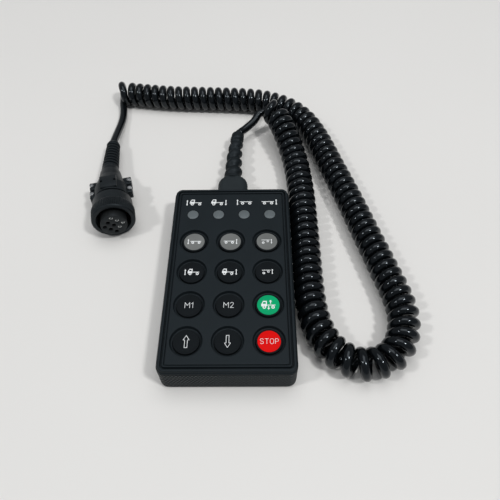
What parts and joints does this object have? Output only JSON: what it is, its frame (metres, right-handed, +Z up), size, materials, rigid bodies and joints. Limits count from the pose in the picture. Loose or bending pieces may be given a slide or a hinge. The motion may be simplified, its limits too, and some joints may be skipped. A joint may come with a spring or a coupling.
{
  "type": "pendant control station",
  "caption": "Hand-held wired control with round recessed keys and small indicator windows, a coiled cord with a tapered strain relief, and a round bayonet plug with a turning ring.",
  "frame": {"origin": "centre of the case's underside", "axes": "+X to the right, +Y towards the cord's end of the case, +Z up out of the keys"},
  "size_m": [0.205, 0.2523, 0.0286],
  "materials": {
    "case_black": "fine grain",
    "key_grey": "matte",
    "key_black": "matte",
    "key_green": "matte",
    "key_red": "matte",
    "window_grey": "smoked",
    "mat_rubber": "matte",
    "seal_rubber": "matte",
    "orange_rubber": "satin",
    "cord_black": "glossy",
    "plug_black": "satin",
    "screw_steel": "satin",
    "spring_steel": "satin",
    "insert_brass": "knurled",
    "contact_metal": "plated",
    "board_green": "satin",
    "chip_black": "matte",
    "pill_carbon": "matte",
    "can_aluminium": "satin",
    "header_ivory": "matte",
    "led_white": "gloss",
    "lead_orange": "satin"
  },
  "bodies": {
    "handset": {"rear_cover": "case_black", "front_cover": "case_black", "case_seal": "seal_rubber", "case_screws": "screw_steel", "threaded_inserts": "insert_brass", "keypad_mat": "mat_rubber", "contact_pills": "pill_carbon", "indicator_lenses": "window_grey", "indicator_leds": "led_white", "circuit_board": "board_green", "controller_chip": "chip_black", "board_capacitors": "can_aluminium", "board_header": "header_ivory", "lead_plug": "header_ivory", "handset_leads": "lead_orange", "cord_inner_end": "cord_black", "cord_clamp": "case_black", "clamp_screws": "screw_steel", "cord_gland": "cord_black", "strain_relief": "cord_black", "cord_tail_handset": "cord_black", "cord_coil": "cord_black", "cord_tail_connector": "cord_black", "connector_boot": "cord_black", "backshell_upper": "plug_black", "backshell_lower": "plug_black", "backshell_screws": "screw_steel", "connector_body": "plug_black", "contact_insert": "plug_black", "contact_sockets": "contact_metal", "connector_leads": "lead_orange", "interface_seal": "orange_rubber", "wave_spring": "spring_steel"},
    "key_trailer_front": {"key_trailer_front": "key_grey"},
    "key_trailer_rear": {"key_trailer_rear": "key_grey"},
    "key_trailer_lift_axle": {"key_trailer_lift_axle": "key_grey"},
    "key_truck_front": {"key_truck_front": "key_black"},
    "key_truck_rear": {"key_truck_rear": "key_black"},
    "key_truck_lift_axle": {"key_truck_lift_axle": "key_black"},
    "key_memory_1": {"key_memory_1": "key_black"},
    "key_memory_2": {"key_memory_2": "key_black"},
    "key_ride_height": {"key_ride_height": "key_green"},
    "key_raise": {"key_raise": "key_black"},
    "key_lower": {"key_lower": "key_black"},
    "key_stop": {"key_stop": "key_red"},
    "coupling_ring": {"coupling_ring": "plug_black"}
  },
  "joints": [
    {"name": "press_trailer_front", "type": "slide", "parent": "handset", "child": "key_trailer_front", "axis": [0, 0, -1], "range_m": [0, 0.0012], "stiffness_N_per_m": 500, "springref_m": -0.002, "deforming": ["keypad_mat"]},
    {"name": "press_trailer_rear", "type": "slide", "parent": "handset", "child": "key_trailer_rear", "axis": [0, 0, -1], "range_m": [0, 0.0012], "stiffness_N_per_m": 500, "springref_m": -0.002, "deforming": ["keypad_mat"]},
    {"name": "press_trailer_lift_axle", "type": "slide", "parent": "handset", "child": "key_trailer_lift_axle", "axis": [0, 0, -1], "range_m": [0, 0.0012], "stiffness_N_per_m": 500, "springref_m": -0.002, "deforming": ["keypad_mat"]},
    {"name": "press_truck_front", "type": "slide", "parent": "handset", "child": "key_truck_front", "axis": [0, 0, -1], "range_m": [0, 0.0012], "stiffness_N_per_m": 500, "springref_m": -0.002, "deforming": ["keypad_mat"]},
    {"name": "press_truck_rear", "type": "slide", "parent": "handset", "child": "key_truck_rear", "axis": [0, 0, -1], "range_m": [0, 0.0012], "stiffness_N_per_m": 500, "springref_m": -0.002, "deforming": ["keypad_mat"]},
    {"name": "press_truck_lift_axle", "type": "slide", "parent": "handset", "child": "key_truck_lift_axle", "axis": [0, 0, -1], "range_m": [0, 0.0012], "stiffness_N_per_m": 500, "springref_m": -0.002, "deforming": ["keypad_mat"]},
    {"name": "press_memory_1", "type": "slide", "parent": "handset", "child": "key_memory_1", "axis": [0, 0, -1], "range_m": [0, 0.0012], "stiffness_N_per_m": 500, "springref_m": -0.002, "deforming": ["keypad_mat"]},
    {"name": "press_memory_2", "type": "slide", "parent": "handset", "child": "key_memory_2", "axis": [0, 0, -1], "range_m": [0, 0.0012], "stiffness_N_per_m": 500, "springref_m": -0.002, "deforming": ["keypad_mat"]},
    {"name": "press_ride_height", "type": "slide", "parent": "handset", "child": "key_ride_height", "axis": [0, 0, -1], "range_m": [0, 0.0012], "stiffness_N_per_m": 500, "springref_m": -0.002, "deforming": ["keypad_mat"]},
    {"name": "press_raise", "type": "slide", "parent": "handset", "child": "key_raise", "axis": [0, 0, -1], "range_m": [0, 0.0012], "stiffness_N_per_m": 500, "springref_m": -0.002, "deforming": ["keypad_mat"]},
    {"name": "press_lower", "type": "slide", "parent": "handset", "child": "key_lower", "axis": [0, 0, -1], "range_m": [0, 0.0012], "stiffness_N_per_m": 500, "springref_m": -0.002, "deforming": ["keypad_mat"]},
    {"name": "press_stop", "type": "slide", "parent": "handset", "child": "key_stop", "axis": [0, 0, -1], "range_m": [0, 0.0012], "stiffness_N_per_m": 500, "springref_m": -0.002, "deforming": ["keypad_mat"]},
    {"name": "coupling_turn", "type": "hinge", "parent": "handset", "child": "coupling_ring", "pos_m": [-0.0757, 0.0419, 0.0145], "axis": [0.2242, -0.9711, 0.0819], "range_deg": [0, 70]}
  ]
}
